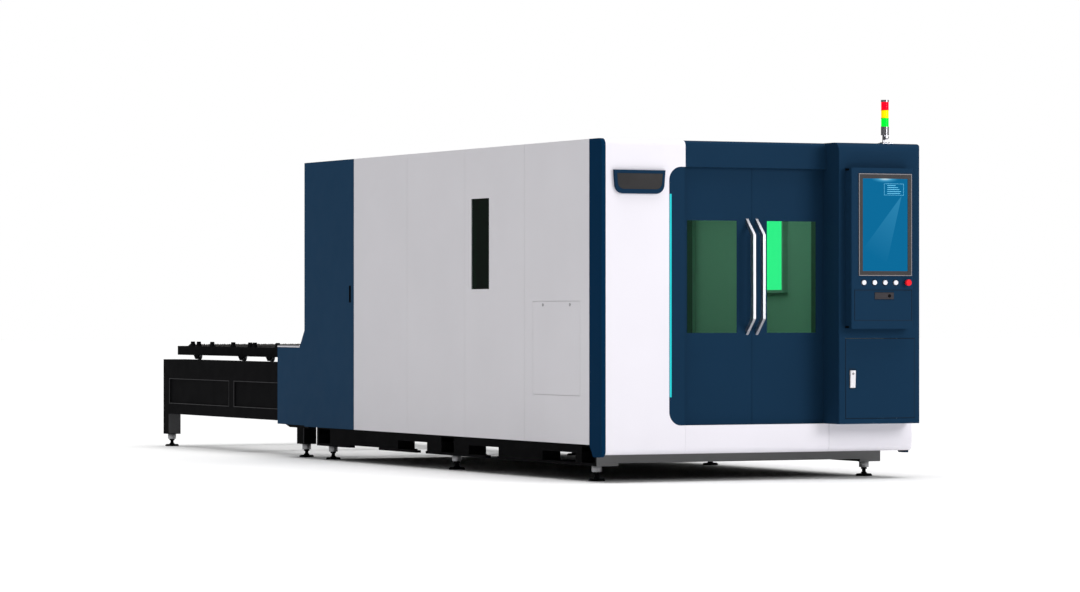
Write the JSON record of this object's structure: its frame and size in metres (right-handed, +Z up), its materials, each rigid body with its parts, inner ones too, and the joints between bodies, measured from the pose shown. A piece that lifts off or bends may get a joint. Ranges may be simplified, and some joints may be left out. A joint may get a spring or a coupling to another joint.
{
  "type": "fiber laser cutting machine",
  "caption": "Enclosed sheet-metal laser cutter with sliding front doors, operator console, signal tower and a two-level pallet exchange table behind.",
  "frame": {"origin": "middle of the footprint on the floor", "axes": "+Z up, +Y from the operator's front towards the exchange table, +X to the operator's right"},
  "size_m": [2.305, 8.538, 2.495],
  "materials": {
    "frame_black": "satin",
    "foot_black": "satin",
    "ground_steel": "ground",
    "cabin_steel": "satin",
    "panel_grey": "satin",
    "panel_white": "satin",
    "panel_navy": "satin",
    "hatch_grey": "satin",
    "laser_glass": "clear",
    "led_lens": "glowing",
    "plate_navy": "satin",
    "door_navy": "satin",
    "handle_silver": "satin",
    "source_grey": "satin",
    "bezel_grey": "matte",
    "screen": "glowing",
    "button_white": "satin",
    "stop_red": "satin",
    "latch_grey": "matte",
    "latch_light": "satin",
    "chrome": "polished",
    "lens_green": "gloss",
    "lens_amber": "gloss",
    "lens_red": "gloss",
    "gantry_paint": "satin",
    "slat_steel": "mill",
    "wheel_steel": "turned",
    "roof_navy": "satin"
  },
  "bodies": {
    "machine": {"bed_frame": "frame_black", "levelling_feet": "foot_black", "guide_rails": "ground_steel", "cabin_frame": "cabin_steel", "left_panels": "panel_grey", "right_panels": "panel_grey", "service_hatches": "hatch_grey", "side_glass": "laser_glass", "corner_trims": "panel_navy", "front_left_panel": "panel_white", "front_header": "panel_navy", "front_skirts": "panel_white", "door_jamb": "panel_navy", "led_strip": "led_lens", "nameplate": "plate_navy", "door_tracks": "ground_steel", "roof_panels": "roof_navy", "rear_wall": "panel_navy", "laser_source": "source_grey", "rear_fairings": "panel_navy", "console_pillar": "panel_navy", "console_housing": "panel_navy", "screen_bezel": "bezel_grey", "screen_panel": "screen", "tower_base": "chrome", "exchange_frame": "frame_black"},
    "left_door": {"left_door": "door_navy", "left_door_glass": "laser_glass", "left_door_handle": "handle_silver"},
    "right_door": {"right_door": "door_navy", "right_door_glass": "laser_glass", "right_door_handle": "handle_silver"},
    "left_rear_door": {"left_rear_door": "panel_navy"},
    "right_rear_door": {"right_rear_door": "panel_navy"},
    "keyboard_flap": {"keyboard_flap": "panel_navy"},
    "flap_latch": {"flap_latch": "latch_grey"},
    "cabinet_door": {"cabinet_door": "panel_navy"},
    "cabinet_latch": {"cabinet_latch": "latch_light"},
    "push_button_1": {"push_button_1": "button_white"},
    "push_button_2": {"push_button_2": "button_white"},
    "push_button_3": {"push_button_3": "button_white"},
    "push_button_4": {"push_button_4": "button_white"},
    "emergency_stop": {"emergency_stop": "stop_red"},
    "tower_mast": {"tower_mast": "chrome", "tower_lens_green": "lens_green", "tower_lens_amber": "lens_amber", "tower_lens_red": "lens_red"},
    "lift_door": {"lift_door": "cabin_steel"},
    "gantry": {"gantry_beam": "gantry_paint"},
    "head_carriage": {"head_carriage": "gantry_paint"},
    "cutting_head": {"cutting_head": "source_grey"},
    "outer_pallet": {"outer_pallet": "frame_black", "outer_slats": "slat_steel"},
    "inner_pallet": {"inner_pallet": "frame_black", "inner_slats": "slat_steel"},
    "outer_wheels_1": {"outer_wheels_1": "wheel_steel"},
    "outer_wheels_2": {"outer_wheels_2": "wheel_steel"},
    "outer_wheels_3": {"outer_wheels_3": "wheel_steel"},
    "outer_wheels_4": {"outer_wheels_4": "wheel_steel"}
  },
  "joints": [
    {"name": "left_door_slide", "type": "slide", "parent": "machine", "child": "left_door", "axis": [-1, 0, 0], "range_m": [0, 0.46]},
    {"name": "right_door_slide", "type": "slide", "parent": "machine", "child": "right_door", "axis": [1, 0, 0], "range_m": [0, 0.46]},
    {"name": "left_rear_door_hinge", "type": "hinge", "parent": "machine", "child": "left_rear_door", "pos_m": [-1.15, 0.922, 1.2], "axis": [0, 0, -1], "range_deg": [0, 110]},
    {"name": "right_rear_door_hinge", "type": "hinge", "parent": "machine", "child": "right_rear_door", "pos_m": [1.15, 0.922, 1.2], "axis": [0, 0, 1], "range_deg": [0, 110]},
    {"name": "keyboard_flap_hinge", "type": "hinge", "parent": "machine", "child": "keyboard_flap", "pos_m": [0.784, -4.234, 1.04], "axis": [1, 0, 0], "range_deg": [0, 90]},
    {"name": "flap_latch_hinge", "type": "hinge", "parent": "keyboard_flap", "child": "flap_latch", "pos_m": [0.791, -4.237, 1.224], "axis": [-1, 0, 0], "range_deg": [0, 40], "stiffness_Nm_per_rad": 0.05},
    {"name": "cabinet_door_hinge", "type": "hinge", "parent": "machine", "child": "cabinet_door", "pos_m": [1.072, -4.152, 0.66], "axis": [0, 0, 1], "range_deg": [0, 110]},
    {"name": "cabinet_latch_hinge", "type": "hinge", "parent": "cabinet_door", "child": "cabinet_latch", "pos_m": [0.597, -4.152, 0.715], "axis": [-1, 0, 0], "range_deg": [0, 60]},
    {"name": "push_button_1_press", "type": "slide", "parent": "machine", "child": "push_button_1", "axis": [0, 1, 0], "range_m": [0, 0.004], "stiffness_N_per_m": 600},
    {"name": "push_button_2_press", "type": "slide", "parent": "machine", "child": "push_button_2", "axis": [0, 1, 0], "range_m": [0, 0.004], "stiffness_N_per_m": 600},
    {"name": "push_button_3_press", "type": "slide", "parent": "machine", "child": "push_button_3", "axis": [0, 1, 0], "range_m": [0, 0.004], "stiffness_N_per_m": 600},
    {"name": "push_button_4_press", "type": "slide", "parent": "machine", "child": "push_button_4", "axis": [0, 1, 0], "range_m": [0, 0.004], "stiffness_N_per_m": 600},
    {"name": "emergency_stop_press", "type": "slide", "parent": "machine", "child": "emergency_stop", "axis": [0, 1, 0], "range_m": [0, 0.006], "stiffness_N_per_m": 900},
    {"name": "tower_fold", "type": "hinge", "parent": "machine", "child": "tower_mast", "pos_m": [0.91, -4.042, 2.246], "axis": [0, -1, 0], "range_deg": [0, 90]},
    {"name": "lift_door_slide", "type": "slide", "parent": "machine", "child": "lift_door", "axis": [0, 0, -1], "range_m": [0, 0.43]},
    {"name": "gantry_travel", "type": "slide", "parent": "machine", "child": "gantry", "axis": [0, -1, 0], "range_m": [0, 2.9]},
    {"name": "head_travel", "type": "slide", "parent": "gantry", "child": "head_carriage", "axis": [1, 0, 0], "range_m": [-0.76, 0.76]},
    {"name": "head_height", "type": "slide", "parent": "head_carriage", "child": "cutting_head", "axis": [0, 0, -1], "range_m": [0, 0.275]},
    {"name": "outer_pallet_travel", "type": "slide", "parent": "machine", "child": "outer_pallet", "axis": [0, 1, 0], "range_m": [-4.15, 0]},
    {"name": "inner_pallet_travel", "type": "slide", "parent": "machine", "child": "inner_pallet", "axis": [0, 1, 0], "range_m": [0, 4.15]},
    {"name": "outer_wheels_1_roll", "type": "hinge", "parent": "outer_pallet", "child": "outer_wheels_1", "pos_m": [0, 1.299, 0.747], "axis": [1, 0, 0], "range_deg": [-180, 6700]},
    {"name": "outer_wheels_2_roll", "type": "hinge", "parent": "outer_pallet", "child": "outer_wheels_2", "pos_m": [0, 2.277, 0.747], "axis": [1, 0, 0], "range_deg": [-180, 6700]},
    {"name": "outer_wheels_3_roll", "type": "hinge", "parent": "outer_pallet", "child": "outer_wheels_3", "pos_m": [0, 2.862, 0.747], "axis": [1, 0, 0], "range_deg": [-180, 6700]},
    {"name": "outer_wheels_4_roll", "type": "hinge", "parent": "outer_pallet", "child": "outer_wheels_4", "pos_m": [0, 3.839, 0.747], "axis": [1, 0, 0], "range_deg": [-180, 6700]}
  ],
  "couplings": [
    {"joint": "inner_pallet_travel", "follows": "outer_pallet_travel", "ratio": -1},
    {"joint": "outer_wheels_1_roll", "follows": "outer_pallet_travel", "rad_per_m": -27.778},
    {"joint": "outer_wheels_2_roll", "follows": "outer_pallet_travel", "rad_per_m": -27.778},
    {"joint": "outer_wheels_3_roll", "follows": "outer_pallet_travel", "rad_per_m": -27.778},
    {"joint": "outer_wheels_4_roll", "follows": "outer_pallet_travel", "rad_per_m": -27.778}
  ]
}
